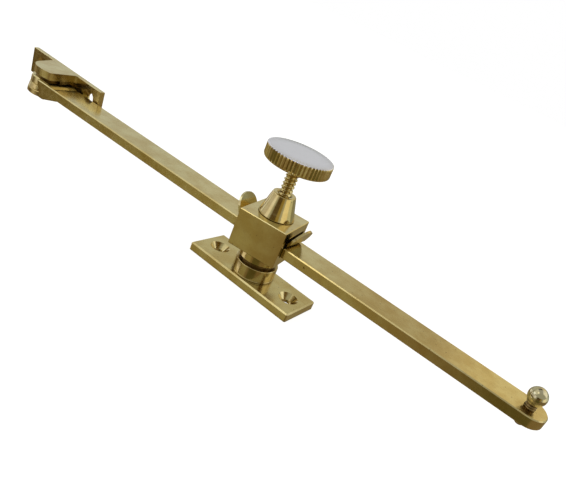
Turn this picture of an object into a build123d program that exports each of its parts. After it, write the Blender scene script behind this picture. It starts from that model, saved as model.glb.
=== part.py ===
"""Sliding screw-down casement window stay in brass, 254 mm (10 inch) over all.

X runs along the base plate, Z points up the swivel axis, and the origin is the
middle of the base plate's underside. All sizes are in millimetres.
"""
import math
import os
from build123d import *

os.makedirs("parts", exist_ok=True)

# ---------------------------------------------------------------- fits
GAP = 0.3            # between faces that move past each other
RUN = 0.05           # radial clearance of a turning or threaded fit
SEAT = 0.02          # radial clearance of a fixed fit

# ---------------------------------------------------------------- rest pose
bar_turn = 2.2       # degrees from the base plate's length to the bar
block_turn = 8.1     # degrees from the bar to the block it lies in

# ---------------------------------------------------------------- base
base_length = 50.4
base_width = 19.0
base_thickness = 3.4
base_hole_spacing = 36.6
base_hole_radius = 2.1
base_sink_radius = 4.0
collar_top = 8.9
collar_radius = 8.4
washer_radius = 6.6
washer_top = 9.95
pin_radius = 3.0
pin_head_radius = 5.0
rivet_radius = 4.6

# ---------------------------------------------------------------- slide block
block_length = 19.8
block_width = 20.7
block_bottom = 14.4
block_top = 29.2
boss_radius = 7.9
boss_bottom = 10.25
passage_width = 16.2
passage_top = 25.8
neck_base_radius = 7.0
neck_top_radius = 4.5
neck_top = 38.2
spigot_radius = 5.5

# ---------------------------------------------------------------- bar
bar_width = 12.6
bar_thickness = 4.0
bar_underside = 18.7
bar_end = 113.6        # from the swivel axis to the rounded free end
eye_x = -133.0         # from the swivel axis to the eye, along the bar
eye_bottom = 15.6
eye_top = 23.5
eye_radius = 7.5
gusset_length = 16.0
ramp_start = 8.0       # from the eye, where its raised top begins to fall
ramp_end = 12.3
mark_x = 21.5
stop_x = 107.3
stop_shank_radius = 2.0
stop_head_radius = 3.2
stop_head_bottom = 24.6
stop_head_top = 30.3
stop_tip = 15.7
pivot_radius = 2.5
pivot_head_radius = 4.2

# ---------------------------------------------------------------- bracket
bracket_length = 50.6
bracket_thickness = 2.5
bracket_front = 7.95   # from the pivot axis to the plate's front face
bracket_bottom = 16.4
bracket_top = 28.2
bracket_hole_spacing = 35.6
bracket_hole_radius = 2.0
bracket_sink_radius = 3.6
lug_bottom = 25.0

# ---------------------------------------------------------------- clamp
plate_width = 10.8
plate_thickness = 0.9
plate_fold_x = 11.5
tongue_length = 8.1
tongue_angle = 65.0
screw_radius = 2.5
knob_radius = 12.5
knob_bottom = 49.4
knob_top = 54.4
knurl_count = 60
knurl_depth = 0.45

bar_top = bar_underside + bar_thickness
passage_floor = bar_underside - GAP
plate_underside = bar_top + GAP
bar_frame = Plane.XY.rotated((0, 0, bar_turn))
block_frame = Plane.XY.rotated((0, 0, bar_turn + block_turn))


def flat_at(x, z):
    """Level plane at distance x along the bar and height z."""
    return Plane(bar_frame.from_local_coords((x, 0, z)), x_dir=bar_frame.x_dir)


def upright_at(x, y=0, z=0):
    """Plane standing along the bar: local X along it, local Y up."""
    point = bar_frame.from_local_coords((x, y, z))
    return Plane(point, x_dir=bar_frame.x_dir, z_dir=-bar_frame.y_dir)


def vertical_axis(x):
    """Vertical axis at distance x along the bar."""
    return Axis(bar_frame.from_local_coords((x, 0, 0)), (0, 0, 1))


# ---------------------------------------------------------------- base body
with BuildPart() as base_plate:
    with BuildSketch():
        Rectangle(base_length, base_width)
    extrude(amount=base_thickness)
    fillet(base_plate.edges().filter_by(Axis.Z), radius=0.6)
    chamfer(base_plate.faces().sort_by(Axis.Z)[-1].edges(), length=0.5)
    with Locations((0, 0, base_thickness)):
        with GridLocations(base_hole_spacing, 0, 2, 1):
            CounterSinkHole(base_hole_radius, base_sink_radius)
    with Locations(Plane.XY.rotated((180, 0, 0))):
        CounterSinkHole(pin_radius + SEAT, rivet_radius + SEAT)
base_plate.part.label = "base_plate"
export_step(base_plate.part, "parts/base_plate.step")

# Plain turned pedestal that the block swivels on.
with BuildPart() as base_collar:
    with BuildSketch(Plane.XY.offset(base_thickness)):
        Circle(collar_radius)
        Circle(pin_radius + SEAT, mode=Mode.SUBTRACT)
    extrude(amount=collar_top - base_thickness)
    top_ring = base_collar.faces().sort_by(Axis.Z)[-1].edges().sort_by(SortBy.RADIUS)[-1]
    chamfer(top_ring, length=0.3)
base_collar.part.label = "base_collar"
export_step(base_collar.part, "parts/base_collar.step")

with BuildPart() as swivel_washer:
    with BuildSketch(Plane.XY.offset(collar_top)):
        Circle(washer_radius)
        Circle(pin_radius + SEAT, mode=Mode.SUBTRACT)
    extrude(amount=washer_top - collar_top)
swivel_washer.part.label = "swivel_washer"
export_step(swivel_washer.part, "parts/swivel_washer.step")

# Headed pin: riveted flush under the plate, its head in the block's floor.
pin_head_bottom = passage_floor - 2.6
pin_head_top = passage_floor - 0.7
with BuildPart() as swivel_pin:
    with BuildSketch(Plane.XZ):
        with BuildLine():
            Polyline(
                (0, 0),
                (rivet_radius, 0),
                (pin_radius, rivet_radius - pin_radius),
                (pin_radius, pin_head_bottom),
                (pin_head_radius, pin_head_bottom),
                (pin_head_radius, pin_head_top - 0.4),
                (pin_head_radius - 0.4, pin_head_top),
                (0, pin_head_top),
                close=True,
            )
        make_face()
    revolve(axis=Axis.Z)
swivel_pin.part.label = "swivel_pin"
export_step(swivel_pin.part, "parts/swivel_pin.step")


# ---------------------------------------------------------------- block body
with BuildPart() as slide_block:
    with BuildSketch(block_frame.offset(block_bottom)):
        Rectangle(block_length, block_width)
    extrude(amount=block_top - block_bottom)
    chamfer(slide_block.edges(), length=0.25)
    with BuildSketch(Plane.XY.offset(boss_bottom)):
        Circle(boss_radius)
    extrude(amount=block_bottom - boss_bottom + 1)
    chamfer(slide_block.faces().sort_by(Axis.Z)[0].edges(), length=0.35)
    with BuildSketch(block_frame.offset(passage_floor)):
        Rectangle(block_length + 2, passage_width)
    extrude(amount=passage_top - passage_floor, mode=Mode.SUBTRACT)
    with BuildSketch(Plane.XY.offset(passage_top - 1)):
        Circle(spigot_radius + SEAT)
    extrude(amount=block_top - passage_top + 2, mode=Mode.SUBTRACT)
    with BuildSketch(Plane.XY.offset(pin_head_bottom - GAP)):
        Circle(pin_head_radius + GAP)
    extrude(amount=passage_floor - pin_head_bottom + GAP + 1, mode=Mode.SUBTRACT)
    with BuildSketch(Plane.XY.offset(boss_bottom - 1)):
        Circle(pin_radius + RUN)
    extrude(amount=block_bottom, mode=Mode.SUBTRACT)
slide_block.part.label = "slide_block"
export_step(slide_block.part, "parts/slide_block.step")

# Threaded conical neck with a spigot in the block's top wall.
with BuildPart() as screw_neck:
    with BuildSketch(Plane.XZ):
        with BuildLine():
            Polyline(
                (screw_radius + RUN, passage_top + 0.1),
                (spigot_radius, passage_top + 0.1),
                (spigot_radius, block_top),
                (neck_base_radius - 0.2, block_top),
                (neck_base_radius, block_top + 0.25),
                (neck_top_radius, neck_top - 0.5),
                (neck_top_radius - 0.6, neck_top),
                (screw_radius + 0.4, neck_top),
                (screw_radius + RUN, neck_top - 0.4),
                close=True,
            )
        make_face()
    revolve(axis=Axis.Z)
screw_neck.part.label = "screw_neck"
export_step(screw_neck.part, "parts/screw_neck.step")


# ---------------------------------------------------------------- clamp bodies
# Thin strip on the bar, both ends folded up and rounded.
rise = math.radians(tongue_angle)
strip_z = plate_underside + plate_thickness / 2
tongue_x = plate_fold_x + tongue_length * math.cos(rise)
tongue_z = strip_z + tongue_length * math.sin(rise)
with BuildPart() as pressure_plate:
    with BuildSketch(upright_at(0)):
        with BuildLine():
            FilletPolyline(
                (-tongue_x, tongue_z),
                (-plate_fold_x, strip_z),
                (plate_fold_x, strip_z),
                (tongue_x, tongue_z),
                radius=2.0,
            )
        trace(line_width=plate_thickness)
    extrude(amount=plate_width / 2, both=True)
    tip_edges = pressure_plate.edges().filter_by(
        lambda e: abs(e.length - plate_thickness) < 0.01 and e.center().Z > plate_underside + 2
    )
    fillet(tip_edges, radius=plate_width / 2 - 0.1)
pressure_plate.part.label = "pressure_plate"
export_step(pressure_plate.part, "parts/pressure_plate.step")

screw_tip = plate_underside + plate_thickness + GAP
screw_top = knob_top - 2.0
with BuildPart() as thumb_screw:
    with BuildSketch(Plane.XY.offset(screw_tip)):
        Circle(screw_radius)
    extrude(amount=screw_top - screw_tip)
    chamfer(thumb_screw.faces().sort_by(Axis.Z)[0].edges(), length=0.6)
thumb_screw.part.label = "thumb_screw"
export_step(thumb_screw.part, "parts/thumb_screw.step")

with BuildPart() as thumb_knob:
    with BuildSketch(Plane.XY.offset(knob_bottom)):
        Circle(knob_radius)
    extrude(amount=knob_top - knob_bottom)
    fillet(thumb_knob.faces().sort_by(Axis.Z)[0].edges(), radius=0.9)
    chamfer(thumb_knob.faces().sort_by(Axis.Z)[-1].edges(), length=0.3)
    with BuildSketch(Plane.XY.offset(knob_bottom - 1)):
        with PolarLocations(knob_radius + 0.1, knurl_count):
            Polygon(
                (-knurl_depth - 0.1, 0),
                (0.1, -knurl_depth),
                (0.1, knurl_depth),
                align=None,
            )
    extrude(amount=knob_top - knob_bottom + 2, mode=Mode.SUBTRACT)
    with BuildSketch(Plane.XY.offset(knob_bottom - 1)):
        Circle(screw_radius + SEAT)
    extrude(amount=screw_top - knob_bottom + 1 + SEAT, mode=Mode.SUBTRACT)
thumb_knob.part.label = "thumb_knob"
export_step(thumb_knob.part, "parts/thumb_knob.step")


# ---------------------------------------------------------------- bar body
straight = bar_end - bar_width / 2 - eye_x
seam_x = eye_x + gusset_length
with BuildPart() as bar:
    with BuildSketch(flat_at(eye_x + straight / 2, bar_underside)):
        SlotCenterToCenter(straight, bar_width)
    extrude(amount=bar_thickness)
    chamfer(bar.faces().filter_by(Axis.Z).edges(), length=0.35)
    with BuildSketch(flat_at(seam_x, bar_underside - 1)):
        Rectangle(2 * gusset_length + bar_width, 2 * bar_width, align=(Align.MAX, Align.CENTER))
    extrude(amount=bar_thickness + 2, mode=Mode.SUBTRACT)
    with Locations(flat_at(stop_x, bar_top)):
        Hole(stop_shank_radius + SEAT)
    # Small centre mark on the front edge.
    with BuildSketch(upright_at(mark_x, -bar_width / 2, bar_underside + 2.2)):
        Circle(0.55)
    extrude(amount=-0.4, mode=Mode.SUBTRACT)
bar.part.label = "bar"
export_step(bar.part, "parts/bar.step")

# Cast eye brazed to the bar's end: a turned boss deeper than the bar, widening
# downwards in three rings, with a ramp above and one below that run out into the bar.
with BuildPart() as bar_eye:
    with BuildSketch(flat_at(eye_x + straight / 2, bar_underside)):
        SlotCenterToCenter(straight, bar_width)
    extrude(amount=bar_thickness)
    chamfer(bar_eye.faces().filter_by(Axis.Z).edges(), length=0.35)
    with BuildSketch(flat_at(seam_x, bar_underside - 1)):
        Rectangle(2 * straight, 2 * bar_width, align=(Align.MIN, Align.CENTER))
    extrude(amount=bar_thickness + 2, mode=Mode.SUBTRACT)
    with BuildSketch(upright_at(eye_x)):
        with BuildLine():
            Polyline(
                (0, eye_bottom),
                (eye_radius - 0.3, eye_bottom),
                (eye_radius, eye_bottom + 0.3),
                (eye_radius - 0.1, eye_bottom + 2.0),
                (eye_radius - 0.5, eye_bottom + 2.3),
                (eye_radius - 0.3, eye_bottom + 2.6),
                (eye_radius - 0.6, eye_bottom + 4.2),
                (eye_radius - 1.0, eye_bottom + 4.5),
                (eye_radius - 0.8, eye_bottom + 4.8),
                (eye_radius - 1.0, eye_top - 0.4),
                (eye_radius - 1.4, eye_top),
                (0, eye_top),
                close=True,
            )
        make_face()
    revolve(axis=vertical_axis(eye_x))
    with BuildSketch(upright_at(eye_x)):
        with BuildLine():
            Polyline(
                (0, eye_bottom),
                (6.6, eye_bottom),
                (gusset_length, bar_underside),
                (gusset_length, bar_underside + 0.35),
                (0, bar_underside + 0.35),
                close=True,
            )
        make_face()
    extrude(amount=bar_width / 2 - 0.02, both=True)
    with BuildSketch(upright_at(eye_x)):
        with BuildLine():
            Polyline(
                (0, bar_top - 0.1),
                (ramp_end, bar_top - 0.1),
                (ramp_end, bar_top),
                (ramp_start, eye_top),
                (0, eye_top),
                close=True,
            )
        make_face()
    extrude(amount=bar_width / 2 - 0.37, both=True)
    with Locations(flat_at(eye_x, eye_top)):
        Hole(pivot_radius + RUN)
    with BuildSketch(flat_at(eye_x, eye_bottom - 1)):
        Circle(pivot_head_radius + GAP)
    extrude(amount=2.9, mode=Mode.SUBTRACT)
bar_eye.part.label = "bar_eye"
export_step(bar_eye.part, "parts/bar_eye.step")

with BuildPart() as pivot_washer:
    with BuildSketch(flat_at(eye_x, eye_top)):
        Circle(5.0)
        Circle(pivot_radius + RUN, mode=Mode.SUBTRACT)
    extrude(amount=lug_bottom - GAP - eye_top)
pivot_washer.part.label = "pivot_washer"
export_step(pivot_washer.part, "parts/pivot_washer.step")

# Ball-headed stop screw, standing proud of the bar, its tip just below it.
head_belly = stop_head_top - stop_head_radius
with BuildPart() as stop_screw:
    with BuildSketch(upright_at(stop_x)):
        with BuildLine():
            Polyline(
                (0, stop_tip),
                (stop_shank_radius - 0.7, stop_tip),
                (stop_shank_radius, stop_tip + 0.7),
                (stop_shank_radius, stop_head_bottom),
                (stop_head_radius - 0.9, stop_head_bottom),
                (stop_head_radius - 0.25, stop_head_bottom + 1.0),
                (stop_head_radius, head_belly),
            )
            CenterArc((0, head_belly), stop_head_radius, 0, 90)
            Line((0, stop_head_top), (0, stop_tip))
        make_face()
    revolve(axis=vertical_axis(stop_x))
stop_screw.part.label = "stop_screw"
export_step(stop_screw.part, "parts/stop_screw.step")


# ---------------------------------------------------------------- bracket body
# The bracket's plate is parallel to the base plate, its lug over the eye.
pivot = bar_frame.from_local_coords((eye_x, 0, 0))
plate_middle = Vector(pivot.X, pivot.Y + bracket_front, (bracket_top + bracket_bottom) / 2)
bracket_face = Plane(plate_middle, x_dir=(1, 0, 0), z_dir=(0, -1, 0))
lug_plane = Plane(Vector(pivot.X, pivot.Y, lug_bottom))
with BuildPart() as bracket:
    with BuildSketch(bracket_face):
        Rectangle(bracket_length, bracket_top - bracket_bottom)
    extrude(amount=-bracket_thickness)
    chamfer(bracket.edges(), length=0.2)
    with BuildSketch(lug_plane):
        with BuildLine():
            Polyline(
                (-9.8, bracket_front + 1),
                (-9.8, bracket_front),
                (-6.4, -0.4),
            )
            ThreePointArc((-6.4, -0.4), (-3.2, -4.9), (1.8, -6.5))
            ThreePointArc((1.8, -6.5), (5.2, -6.2), (8.3, -5.0))
            Polyline(
                (8.3, -5.0),
                (8.0, bracket_front - 0.8),
                (8.8, bracket_front),
                (8.8, bracket_front + 1),
                (-9.8, bracket_front + 1),
            )
        make_face()
    extrude(amount=bracket_top - lug_bottom)
    with Locations(bracket_face):
        with GridLocations(bracket_hole_spacing, 0, 2, 1):
            CounterSinkHole(bracket_hole_radius, bracket_sink_radius)
    with Locations(flat_at(eye_x, bracket_top)):
        Hole(pivot_radius + SEAT)
bracket.part.label = "bracket"
export_step(bracket.part, "parts/bracket.step")

# Pivot pin: fixed flush in the lug, turning in the eye, headed underneath.
with BuildPart() as pivot_pin:
    with BuildSketch(flat_at(eye_x, eye_bottom + GAP)):
        Circle(pivot_head_radius)
    extrude(amount=1.3)
    with BuildSketch(flat_at(eye_x, eye_bottom + GAP)):
        Circle(pivot_radius)
    extrude(amount=bracket_top - eye_bottom - GAP)
pivot_pin.part.label = "pivot_pin"
export_step(pivot_pin.part, "parts/pivot_pin.step")
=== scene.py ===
"""Looks for the sliding casement window stay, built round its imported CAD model."""

import math

import bmesh
import bpy
from mathutils import Euler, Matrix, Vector


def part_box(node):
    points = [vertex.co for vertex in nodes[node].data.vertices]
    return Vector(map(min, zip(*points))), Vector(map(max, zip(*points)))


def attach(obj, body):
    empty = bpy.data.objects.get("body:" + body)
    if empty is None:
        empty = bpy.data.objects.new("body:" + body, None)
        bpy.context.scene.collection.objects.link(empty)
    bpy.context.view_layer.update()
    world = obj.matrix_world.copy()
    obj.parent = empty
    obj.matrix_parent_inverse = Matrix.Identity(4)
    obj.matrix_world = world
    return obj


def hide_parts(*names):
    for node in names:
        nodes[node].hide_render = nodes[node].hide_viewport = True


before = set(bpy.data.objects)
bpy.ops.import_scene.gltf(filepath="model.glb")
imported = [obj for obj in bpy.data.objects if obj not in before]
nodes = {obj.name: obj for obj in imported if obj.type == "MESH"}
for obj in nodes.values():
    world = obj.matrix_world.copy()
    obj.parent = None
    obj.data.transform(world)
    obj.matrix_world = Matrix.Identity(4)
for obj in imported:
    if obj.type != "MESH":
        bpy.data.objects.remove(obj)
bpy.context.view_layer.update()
MM = 0.001


# ---------------------------------------------------------------- node helpers
class Graph:
    """Short calls for making and linking shader nodes in one tree."""

    def __init__(self, tree):
        self.tree = tree
        tree.nodes.clear()

    def node(self, kind, inputs=None, **settings):
        made = self.tree.nodes.new(kind)
        for key, value in settings.items():
            setattr(made, key, value)
        for key, value in (inputs or {}).items():
            self.put(made.inputs[key], value)
        return made

    def put(self, socket, value):
        if isinstance(value, bpy.types.NodeSocket):
            self.tree.links.new(value, socket)
        elif socket.type == "RGBA" and len(value) == 3:
            socket.default_value = (*value, 1.0)
        else:
            socket.default_value = value

    def math(self, operation, a, b=0.0, clamp=False):
        made = self.node("ShaderNodeMath", {0: a, 1: b}, operation=operation)
        made.use_clamp = clamp
        return made.outputs[0]

    def ramp(self, value, start, end, low=0.0, high=1.0):
        """Smooth step of value from low at start to high at end."""
        made = self.node(
            "ShaderNodeMapRange",
            {0: value, 1: start, 2: end, 3: low, 4: high},
            interpolation_type="SMOOTHSTEP",
        )
        return made.outputs[0]

    def mix(self, factor, a, b, blend="MIX"):
        made = self.node("ShaderNodeMix", data_type="RGBA", blend_type=blend)
        self.put(made.inputs[0], factor)
        self.put(made.inputs[6], a)
        self.put(made.inputs[7], b)
        return made.outputs[2]

    def noise(self, vector, scale, detail=3.0, rough=0.55):
        made = self.node(
            "ShaderNodeTexNoise",
            {"Vector": vector, "Scale": scale, "Detail": detail, "Roughness": rough},
        )
        return made.outputs[0]


# ---------------------------------------------------------------- brass
PIT_BROWN = (0.10, 0.06, 0.02)
# Brown of the painted shade that darkens the colour where other surfaces are near.
SHADE_BROWN = (0.13, 0.075, 0.02)
EDGE_RADIUS = 0.35 * MM       # how far in from an edge the rubbing reaches
RING_DENSITY = 16000.0        # radians per metre of the turning marks
BUMP_HEIGHT = 0.05 * MM


def brass(name, bright, deep, rough, grain=(1, 1, 1), turned=False, crevice=3.0, extra=None):
    """Brass: clouded colour, finishing marks along grain, small pits, rubbed edges.

    Bright and deep are the two colours of the clouds, and crevice is how near, in
    millimetres, another surface must be for painted shade to darken the colour.
    """
    made = bpy.data.materials.new(name)
    made.use_nodes = True
    g = Graph(made.node_tree)
    place = g.node("ShaderNodeTexCoord").outputs["Object"]
    stretched = g.node("ShaderNodeMapping", {"Vector": place, "Scale": grain}).outputs[0]
    clouds = g.noise(place, 110.0, 4.0, 0.6)
    streaks = g.noise(stretched, 2600.0, 3.0, 0.6)
    blotches = g.noise(place, 420.0, 5.0, 0.65)
    tone = g.ramp(clouds, 0.35, 0.68)
    colour = g.mix(tone, deep, bright)
    stain = g.ramp(blotches, 0.62, 0.78, 0.0, 0.35)
    colour = g.mix(stain, colour, [c * 0.62 for c in deep])
    pits = g.node(
        "ShaderNodeTexVoronoi", {"Vector": place, "Scale": 330.0}, feature="F1"
    ).outputs["Distance"]
    pit = g.ramp(pits, 0.05, 0.10, 1.0, 0.0)
    colour = g.mix(g.math("MULTIPLY", pit, 0.5), colour, PIT_BROWN)
    soft = g.node("ShaderNodeBevel", {"Radius": EDGE_RADIUS}, samples=4).outputs[0]
    flat = g.node("ShaderNodeNewGeometry").outputs["Normal"]
    facing = g.node("ShaderNodeVectorMath", {0: soft, 1: flat}, operation="DOT_PRODUCT")
    edge = g.ramp(facing.outputs["Value"], 0.93, 0.999, 0.25, 0.0)
    colour = g.mix(edge, colour, [min(1.0, c * 1.1 + 0.03) for c in bright])
    # Painted shade: ambient occlusion darkens the colour towards brown in crevices, gaps and under
    # parts.
    ao_amount = g.node("ShaderNodeAmbientOcclusion", {"Distance": crevice * MM}, samples=12)
    painted_shade = g.ramp(ao_amount.outputs["AO"], 0.20, 0.75, 0.78, 0.0)
    colour = g.mix(painted_shade, colour, SHADE_BROWN)
    if extra:
        colour = extra(g, place, colour)
    roughness = g.ramp(blotches, 0.3, 0.75, rough * 0.75, rough * 1.35)
    roughness = g.math("ADD", roughness, g.math("MULTIPLY", streaks, rough * 0.25))
    roughness = g.math("ADD", roughness, g.math("MULTIPLY", painted_shade, 0.15))
    height = g.math("ADD", g.math("MULTIPLY", streaks, 0.6), g.math("MULTIPLY", pit, -1.5))
    height = g.math("ADD", height, g.math("MULTIPLY", clouds, 1.2))
    if turned:
        spread = g.node("ShaderNodeVectorMath", {0: place}, operation="LENGTH").outputs["Value"]
        rings = g.math("SINE", g.math("MULTIPLY", spread, RING_DENSITY))
        height = g.math("ADD", height, g.math("MULTIPLY", rings, 0.12))
    bump = g.node("ShaderNodeBump", {"Strength": 0.07, "Distance": BUMP_HEIGHT, "Height": height})
    shader = g.node(
        "ShaderNodeBsdfPrincipled",
        {"Base Color": colour, "Metallic": 1.0, "Roughness": roughness, "Normal": bump.outputs[0]},
    )
    out = g.node("ShaderNodeOutputMaterial")
    g.put(out.inputs["Surface"], shader.outputs[0])
    return made


# Pairs of bright and deep brass.
# Painted shade: a darker copy of the brass, used for the whole pedestal.
PEDESTAL_SHADE = ((0.57, 0.48, 0.25), (0.47, 0.36, 0.15))
POLISHED = ((0.66, 0.57, 0.30), (0.56, 0.44, 0.19))
BRIGHT = ((0.62, 0.57, 0.40), (0.52, 0.46, 0.28))
# Painted shade: dark brass for the stop screw's shank, the washers and the swivel pin.
SHADE_DARK = ((0.34, 0.24, 0.10), (0.22, 0.15, 0.06))
# Painted reflection: pale cool colour for the knob's flat top.
TOP_SHEEN = (0.72, 0.72, 0.84)


def paint_top_sheen(g, place, colour):
    """Painted reflection: the knob's flat top is painted brighter and cooler than its rim."""
    z = g.node("ShaderNodeSeparateXYZ", {0: place}).outputs[2]
    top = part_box("thumb_knob")[1].z
    share = g.ramp(z, top - 0.5 * MM, top - 0.05 * MM)
    return g.mix(share, colour, TOP_SHEEN)


ALONG_X = (0.05, 1, 1)         # marks drawn out twenty times along X
ALONG_Z = (1, 1, 0.2)
materials = {
    "bar": brass("brass_drawn", *POLISHED, rough=0.18, grain=ALONG_X, crevice=0.4),
    "plate": brass("brass_rolled", *POLISHED, rough=0.18, grain=ALONG_X, crevice=2.0),
    "plain": brass("brass_polished", *POLISHED, rough=0.15, crevice=1.5),
    "turned": brass(
        "brass_turned", *POLISHED, rough=0.12, grain=ALONG_Z, turned=True, crevice=1.2
    ),
    "pedestal": brass("brass_pedestal", *PEDESTAL_SHADE, rough=0.14, turned=True, crevice=4.0),
    "knob": brass("brass_knob", *POLISHED, rough=0.15, turned=True, extra=paint_top_sheen),
    "bright": brass("brass_bright", *BRIGHT, rough=0.10, turned=True),
    "shaded_dark": brass("brass_shaded_dark", *SHADE_DARK, rough=0.28),
}


def clothe(piece, material):
    """Gives a piece one material in every slot."""
    slots = piece.data.materials
    slots.clear()
    slots.append(material)


# ---------------------------------------------------------------- mesh helpers
def centre_of(node):
    low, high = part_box(node)
    return (low + high) / 2


SHARP_ANGLE = math.radians(32)


def finish_piece(name, mesh, node, material, body):
    """Puts a new piece in the scene in place of a node, riding on its body."""
    mesh.update()
    piece = bpy.data.objects.new(name, mesh)
    bpy.context.scene.collection.objects.link(piece)
    clothe(piece, material)
    for face in mesh.polygons:
        face.use_smooth = True
    mesh.set_sharp_from_angle(angle=SHARP_ANGLE)
    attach(piece, body)
    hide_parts(node)


def revolved(name, axis, rows, around, closed_ring=False):
    """Mesh of revolution from rows of (radius, z); a radius may be a function of angle.

    The ends are closed by caps, or joined to each other when closed_ring is true.
    """
    mesh = bpy.data.meshes.new(name)
    bm = bmesh.new()
    rings = []
    for radius, z in rows:
        ring = []
        for i in range(around):
            a = 2 * math.pi * i / around
            r = radius(a) if callable(radius) else radius
            ring.append(bm.verts.new((axis.x + r * math.cos(a), axis.y + r * math.sin(a), z)))
        rings.append(ring)
    pairs = list(zip(rings, rings[1:]))
    if closed_ring:
        pairs.append((rings[-1], rings[0]))
    for low, high in pairs:
        for i in range(around):
            j = (i + 1) % around
            bm.faces.new((low[i], low[j], high[j], high[i]))
    if not closed_ring:
        bm.faces.new(list(reversed(rings[0])))
        bm.faces.new(rings[-1])
    bmesh.ops.recalc_face_normals(bm, faces=bm.faces)
    bm.to_mesh(mesh)
    bm.free()
    return mesh


def arc(centre_r, centre_z, radius, start, end, steps):
    """Profile points (r, z) along an arc, angles in degrees from +r towards +z."""
    points = []
    for i in range(steps + 1):
        a = math.radians(start + (end - start) * i / steps)
        points.append((centre_r + radius * math.cos(a), centre_z + radius * math.sin(a)))
    return points


def thread_rows(radius, depth, pitch, low, high, per_pitch=8):
    """Rows of a right-hand V thread between two heights, running out at both ends."""
    count = round((high - low) / pitch * per_pitch)
    rows = []
    for k in range(count + 1):
        z = low + (high - low) * k / count
        fade = min(1.0, k / per_pitch, (count - k) / per_pitch)

        def at(angle, z=z, fade=fade):
            turn = (z / pitch - angle / (2 * math.pi)) % 1.0
            cut = min(1.0, 1.25 * abs(2 * turn - 1))
            return radius - depth * fade * cut

        rows.append((at, z))
    return rows


# ---------------------------------------------------------------- pieces
def make_thumb_screw():
    """Threaded rod with a chamfered tip."""
    low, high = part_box("thumb_screw")
    radius = (high.x - low.x) / 2
    tip, depth, pitch = 0.6 * MM, 0.55 * MM, 1.5 * MM
    rows = [(radius - tip, low.z), (radius - 0.1 * MM, low.z + tip)]
    rows += thread_rows(radius - 0.01 * MM, depth, pitch, low.z + 1.1 * tip, high.z, 10)
    name = "thumb_screw_thread"
    mesh = revolved(name, centre_of("thumb_screw"), rows, 64)
    look = materials["turned"]
    finish_piece(name, mesh, "thumb_screw", look, "clamp_screw")


def make_knob():
    """Straight-knurled disc with rounded rims, fixed on the screw's end."""
    low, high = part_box("thumb_knob")
    radius = (high.x - low.x) / 2 - 0.02 * MM
    teeth, depth, bore = 60, 0.42 * MM, 2.51 * MM
    under, over = 1.0 * MM, 0.35 * MM     # rounding of the lower and upper rim
    profile = [(bore, low.z), (radius - 1.1 * MM, low.z)]
    profile += arc(radius - under, low.z + under, under, -80, 0, 6)
    profile += [(radius, low.z + (high.z - low.z) * s) for s in (0.35, 0.5, 0.65, 0.8)]
    profile += arc(radius - over, high.z - over, over, 0, 90, 5)
    profile += [(radius * 0.6, high.z), (radius * 0.1, high.z)]

    def knurled(r, z):
        """Row whose radius dips into the grooves, all the way only near the rim."""
        share = max(0.0, min(1.0, (r - radius + 0.55 * MM) / (0.5 * MM)))

        def at(angle):
            wave = (angle * teeth / (2 * math.pi)) % 1.0
            groove = max(0.0, 1 - 2.6 * abs(wave - 0.5)) ** 0.8
            return r - depth * share * groove

        return at, z

    rows = [knurled(r, z) for r, z in profile]
    name = "knurled_knob"
    mesh = revolved(name, centre_of("thumb_knob"), rows, teeth * 10)
    look = materials["knob"]
    finish_piece(name, mesh, "thumb_knob", look, "clamp_screw")


def make_collar():
    """Plain turned pedestal with an eased rim and a fine line near its foot."""
    low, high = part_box("base_collar")
    radius = (high.x - low.x) / 2
    bore, ease, line = 3.02 * MM, 0.35 * MM, 0.5 * MM
    points = [(bore, low.z), (radius - 0.1 * MM, low.z)]
    points += [(radius, low.z + 0.1 * MM), (radius, low.z + line)]
    points += [(radius - 0.1 * MM, low.z + 1.2 * line), (radius, low.z + 1.4 * line)]
    points += arc(radius - ease, high.z - ease, ease, 0, 90, 8)
    points.append((bore, high.z))
    name = "turned_collar"
    mesh = revolved(name, centre_of("base_collar"), points, 128, closed_ring=True)
    look = materials["pedestal"]
    finish_piece(name, mesh, "base_collar", look, "base")


def make_neck():
    """Slightly waisted cone that stands on the block, with its spigot in the block."""
    low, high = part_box("screw_neck")
    radius = (high.x - low.x) / 2
    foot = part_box("slide_block")[1].z
    bore, spigot, lip = 2.55 * MM, 5.5 * MM, 4.5 * MM
    points = [(bore, low.z), (spigot, low.z), (spigot, foot), (radius - 0.3 * MM, foot)]
    points += arc(radius - 0.3 * MM, foot + 0.3 * MM, 0.3 * MM, -70, 10, 4)
    rise, waist = high.z - foot, 0.12 * MM
    for s in (0.25, 0.5, 0.75):
        r = radius + (lip - radius) * s - waist * math.sin(math.pi * s)
        points.append((r, foot + rise * s))
    points += arc(lip - 0.45 * MM, high.z - 0.45 * MM, 0.45 * MM, 10, 90, 6)
    points += [(bore + 0.5 * MM, high.z), (bore, high.z - 0.5 * MM)]
    name = "threaded_neck"
    mesh = revolved(name, centre_of("screw_neck"), points, 128, closed_ring=True)
    look = materials["turned"]
    finish_piece(name, mesh, "screw_neck", look, "block")


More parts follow.
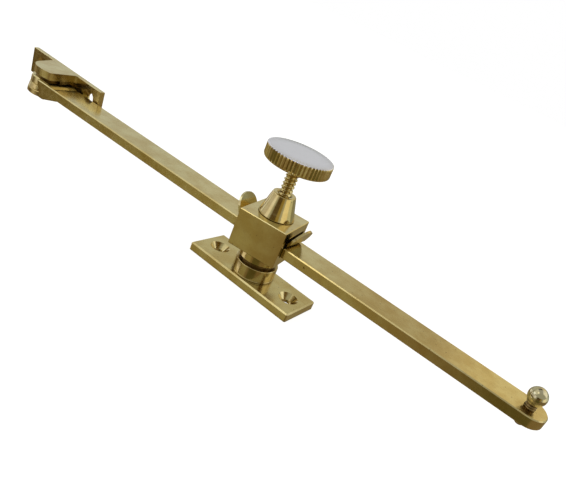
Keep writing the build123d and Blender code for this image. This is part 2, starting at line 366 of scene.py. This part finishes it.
def make_stop_screw():
    """Threaded stop screw with a ball head and a rougher shank, painted darker as painted shade.
    """
    low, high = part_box("stop_screw")
    ball = (high.x - low.x) / 2
    shank, depth, pitch = 2.0 * MM, 0.3 * MM, 0.8 * MM
    neck_z = high.z - 5.7 * MM
    rows = [(shank - 0.7 * MM, low.z), (shank - 0.1 * MM, low.z + 0.6 * MM)]
    rows += thread_rows(shank - 0.01 * MM, depth, pitch, low.z + 0.7 * MM, neck_z, 8)
    rows.append((ball - 0.9 * MM, neck_z + 0.02 * MM))
    rows += arc(0, high.z - ball, ball, -40, 88, 18)
    name = "ball_stop_screw"
    mesh = revolved(name, centre_of("stop_screw"), rows, 64)
    look = materials["bright"]
    finish_piece(name, mesh, "stop_screw", look, "stay_bar")
    # Painted shade: the shank below the ball head gets the dark brass.
    mesh.materials.append(materials["shaded_dark"])
    for face in mesh.polygons:
        face.material_index = 1 if face.center.z < neck_z else 0


make_thumb_screw()
make_knob()
make_collar()
make_neck()
make_stop_screw()

# CAD nodes whose own mesh stays, and the finish each one gets.
KEPT = {
    "base_plate": "plate",
    # The washers and the swivel pin get the dark brass of painted shade.
    "swivel_washer": "shaded_dark",
    "swivel_pin": "shaded_dark",
    "slide_block": "plain",
    "pressure_plate": "plain",
    "bar": "bar",
    "bar_eye": "bar",
    "pivot_washer": "shaded_dark",
    "bracket": "plate",
    "pivot_pin": "plain",
}
for node_name, finish_name in KEPT.items():
    clothe(nodes[node_name], materials[finish_name])


# ---------------------------------------------------------------- surroundings
TOWARDS = Vector((0.49, -0.87, 0.0)).normalized()   # level, from the object to the camera
RIGHT = Vector((0.87, 0.49, 0.0)).normalized()

# What the brass mirrors. These are not plain walls: each patch's place and colour was
# fitted, so that the faces named beside it have the real piece's tones when they are
# seen from the camera below. A patch is (middle and width round the object, bottom and
# top above the horizon, then softness if not 6), in degrees from TOWARDS, and a colour.
# A later patch covers an earlier one.
PATCHES = [
    # below the horizon
    ((-58, 34, -40, -15), (0.38, 0.33, 0.16)),         # front of bar, block and base
    ((-86, 18, -26, -12), (0.13, 0.09, 0.03)),         # front of the bracket plate
    ((-72, 12, -24, -15, 3), (0.30, 0.25, 0.10)),      # front of the bar, eye end
    ((-5, 36, -40, -15), (0.13, 0.11, 0.035)),         # front of the bar, free end
    ((-155, 50, -40, -27, 4), (0.45, 0.40, 0.28)),     # left side of the pedestal
    ((-92, 22, -40, -27, 3), (1.25, 1.20, 1.15)),      # its highlight
    ((140, 40, -40, -20), (0.30, 0.25, 0.14)),         # end of the block, right tongue
    ((148, 20, -17, -3, 3), (0.03, 0.025, 0.02)),      # rim of the ball
    # near the horizon: the upright bands on the neck
    ((-125, 36, -9, 10), (0.95, 0.94, 0.98)),
    ((-150, 10, -8, 0, 3), (1.60, 1.60, 1.60)),
    ((-82, 24, -5, 10), (0.72, 0.68, 0.66)),
    ((-56, 16, -9, 14), (1.05, 1.02, 1.05)),
    ((-12, 34, -9, 14), (0.12, 0.08, 0.03)),
    ((14, 14, -9, 14), (0.38, 0.28, 0.08)),
    ((58, 34, -9, 12), (1.18, 1.08, 0.80)),
    ((92, 22, -9, 10), (0.76, 0.80, 0.68)),
    ((132, 44, -12, 10), (0.36, 0.36, 0.28)),
    # higher up: the level tops and the edges
    ((-90, 24, 16, 30, 4), (1.40, 1.50, 1.70)),        # upper edge of the bracket plate
    ((-162, 48, 12, 60), (0.66, 0.68, 0.64)),          # lug, and the bar's left half
    ((176, 22, 15, 60), (0.69, 0.69, 0.63)),           # block, and the bar beside it
    ((160, 14, 15, 60), (0.56, 0.47, 0.34)),           # the bar's right half
    ((141, 20, 15, 60), (0.88, 0.78, 0.52)),           # the bar's free end
    ((180, 44, 28, 40, 3), (0.58, 0.56, 0.42)),        # base plate
    ((0, 360, 62, 90), (0.50, 0.50, 0.47)),            # overhead
    ((-68, 12, 54, 63, 3), (2.20, 2.10, 1.70)),        # front upper edge of the block
    ((156, 90, 50, 61, 4), (0.12, 0.11, 0.09)),        # dark band on the ball
]
BENCH = (0.26, 0.19, 0.09)
WALL = (0.50, 0.50, 0.44)
WHITE = (1.0, 1.0, 1.0)


def make_world():
    """What the brass mirrors: brown below, pale above, and the patches. The camera sees white."""
    world = bpy.data.worlds.new("studio")
    world.use_nodes = True
    bpy.context.scene.world = world
    g = Graph(world.node_tree)
    way = g.node("ShaderNodeTexCoord").outputs["Generated"]

    def along(direction):
        dot = g.node("ShaderNodeVectorMath", {0: way, 1: direction}, operation="DOT_PRODUCT")
        return dot.outputs["Value"]

    side = g.math("ARCTAN2", along(RIGHT), along(TOWARDS))   # 0 towards the camera
    lift = g.math("ARCSINE", along(Vector((0, 0, 1))))

    def patch(middle, width, bottom, top, soft=6.0):
        """1 inside a box of directions, in degrees, with soft borders."""
        half = math.radians(width / 2)
        blur = math.radians(soft)
        off = g.math("SUBTRACT", side, math.radians(middle))
        wrapped = g.node("ShaderNodeMath", {0: off, 1: math.pi, 2: -math.pi}, operation="WRAP")
        off = g.math("ABSOLUTE", wrapped.outputs[0])
        inside = g.ramp(off, half, half + blur, 1.0, 0.0)
        low = g.ramp(lift, math.radians(bottom) - blur, math.radians(bottom))
        high = g.ramp(lift, math.radians(top), math.radians(top) + blur, 1.0, 0.0)
        return g.math("MULTIPLY", inside, g.math("MULTIPLY", low, high))

    up = g.ramp(lift, math.radians(-14), math.radians(-8))
    colour = g.mix(up, BENCH, WALL)
    for shape, tint in PATCHES:
        colour = g.mix(patch(*shape), colour, tint)
    camera_ray = g.node("ShaderNodeLightPath").outputs["Is Camera Ray"]
    colour = g.mix(camera_ray, colour, WHITE)
    back = g.node("ShaderNodeBackground", {"Color": colour, "Strength": 1.0})
    out = g.node("ShaderNodeOutputWorld")
    g.put(out.inputs["Surface"], back.outputs[0])


def make_floor():
    """Plain white table top just under the base plate; the brass doesn't mirror it."""
    mesh = bpy.data.meshes.new("floor")
    bm = bmesh.new()
    reach, drop = 3.0, 0.02 * MM
    corners = ((-1, -1), (1, -1), (1, 1), (-1, 1))
    bm.faces.new([bm.verts.new((x * reach, y * reach, -drop)) for x, y in corners])
    bm.to_mesh(mesh)
    bm.free()
    floor = bpy.data.objects.new("floor", mesh)
    bpy.context.scene.collection.objects.link(floor)
    made = bpy.data.materials.new("floor_white")
    made.use_nodes = True
    g = Graph(made.node_tree)
    shine = g.node("ShaderNodeEmission", {"Color": WHITE, "Strength": 0.9})
    matt = g.node("ShaderNodeBsdfDiffuse", {"Color": (0.3, 0.3, 0.3)})
    both = g.node("ShaderNodeAddShader", {0: shine.outputs[0], 1: matt.outputs[0]})
    out = g.node("ShaderNodeOutputMaterial")
    g.put(out.inputs["Surface"], both.outputs[0])
    mesh.materials.append(made)
    floor.visible_glossy = False


LIGHT_AIM = Vector((0, 0, 0.02))


def area_light(name, place, size, power, tint):
    """Soft rectangular light, turned to the object."""
    data = bpy.data.lights.new(name, "AREA")
    data.shape = "RECTANGLE"
    data.size, data.size_y = size
    data.energy = power
    data.color = tint
    light = bpy.data.objects.new(name, data)
    light.location = place
    light.rotation_euler = (LIGHT_AIM - Vector(place)).to_track_quat("-Z", "Y").to_euler()
    bpy.context.scene.collection.objects.link(light)


make_world()
make_floor()
area_light("key", (-0.35, -0.25, 0.6), (0.7, 0.7), 0.6, (1.0, 0.98, 0.94))
area_light("fill", (0.45, 0.30, 0.5), (0.6, 0.6), 0.8, (1.0, 0.96, 0.9))

# ---------------------------------------------------------------- camera
camera_data = bpy.data.cameras.new("camera")
camera_data.sensor_width = 36.0
camera_data.lens = 33.79
camera_data.shift_x = -0.0645
camera_data.shift_y = 0.0298
camera_data.clip_start = 0.01
camera_data.clip_end = 20.0
camera = bpy.data.objects.new("camera", camera_data)
camera.location = (0.09006, -0.15963, 0.10417)
camera.rotation_euler = Euler([math.radians(a) for a in (62.201, -22.775, 33.861)])
bpy.context.scene.collection.objects.link(camera)
bpy.context.scene.camera = camera
bpy.context.scene.view_settings.view_transform = "Standard"
